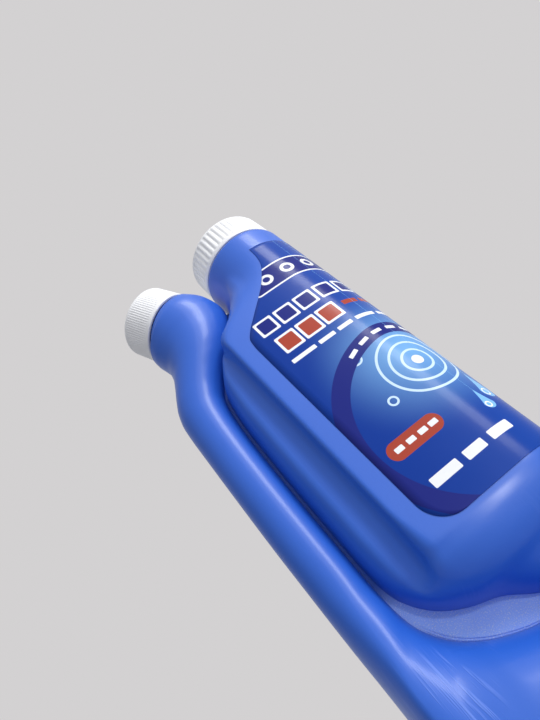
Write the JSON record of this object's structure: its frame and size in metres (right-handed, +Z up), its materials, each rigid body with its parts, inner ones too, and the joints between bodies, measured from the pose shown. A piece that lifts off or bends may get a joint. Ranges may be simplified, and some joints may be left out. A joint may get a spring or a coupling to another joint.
{
  "type": "drain cleaner bottle",
  "caption": "Flat blue blow-moulded bottle with a main chamber, a side tube fed from a dose reservoir in its foot, a white screw cap on each neck, and a label on its front.",
  "frame": {"origin": "middle of the standing face, on the surface that the bottle stands on", "axes": "+Z up, -Y out of the labelled front, +X from the side tube towards the far side of the main chamber"},
  "size_m": [0.086, 0.0446, 0.2205],
  "materials": {
    "bottle_plastic": "satin",
    "label_film": "gloss",
    "cap_plastic": "satin",
    "liner_foam": "matt"
  },
  "bodies": {
    "bottle_body": {"bottle": "bottle_plastic", "front_label": "label_film"},
    "big_liner_body": {"big_cap_liner": "liner_foam"},
    "big_cap_body": {"big_cap": "cap_plastic"},
    "small_liner_body": {"small_cap_liner": "liner_foam"},
    "small_cap_body": {"small_cap": "cap_plastic"}
  },
  "joints": [
    {"name": "big_cap_lift", "type": "slide", "parent": "bottle_body", "child": "big_liner_body", "axis": [0, 0, 1], "range_m": [0, 0.01275]},
    {"name": "big_cap_turn", "type": "hinge", "parent": "big_liner_body", "child": "big_cap_body", "pos_m": [0.022, 0, 0.21], "axis": [0, 0, 1], "range_deg": [0, 1080]},
    {"name": "small_cap_lift", "type": "slide", "parent": "bottle_body", "child": "small_liner_body", "axis": [-0.4115, 0, 0.9114], "range_m": [0, 0.01275]},
    {"name": "small_cap_turn", "type": "hinge", "parent": "small_liner_body", "child": "small_cap_body", "pos_m": [-0.0211, 0, 0.19705], "axis": [-0.4115, 0, 0.9114], "range_deg": [0, 1080]}
  ],
  "couplings": [
    {"joint": "big_cap_lift", "follows": "big_cap_turn", "m_per_rad": 0.00067375},
    {"joint": "small_cap_lift", "follows": "small_cap_turn", "m_per_rad": 0.00067375}
  ]
}
